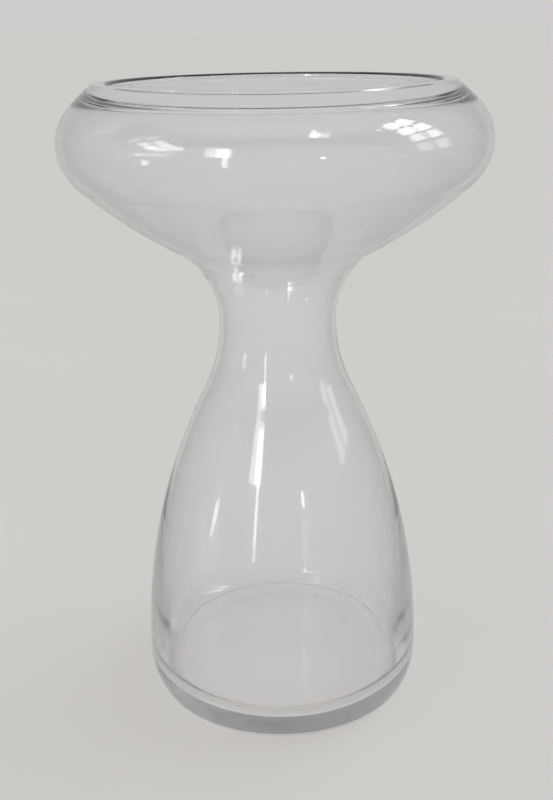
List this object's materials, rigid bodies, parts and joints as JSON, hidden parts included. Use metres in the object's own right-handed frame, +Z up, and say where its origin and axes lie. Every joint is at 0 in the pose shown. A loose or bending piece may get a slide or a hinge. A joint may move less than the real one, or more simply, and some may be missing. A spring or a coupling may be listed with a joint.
{
  "type": "hyacinth forcing vase",
  "caption": "Clear blown-glass bulb vase: a wide squashed bowl for the bulb, a narrow waist, and a tall swelling water reservoir on a thick solid base.",
  "frame": {"origin": "centre of the foot, on the plane that the vase stands on", "axes": "+Z up along the vase's axis of revolution; X and Y are alike, because the vase is round"},
  "size_m": [0.1806, 0.1806, 0.28],
  "materials": {
    "clear_glass": "fire-polished colourless glass, faintly grey in the thick base"
  },
  "bodies": {
    "root": {"glass_vase": "clear_glass"}
  },
  "joints": []
}
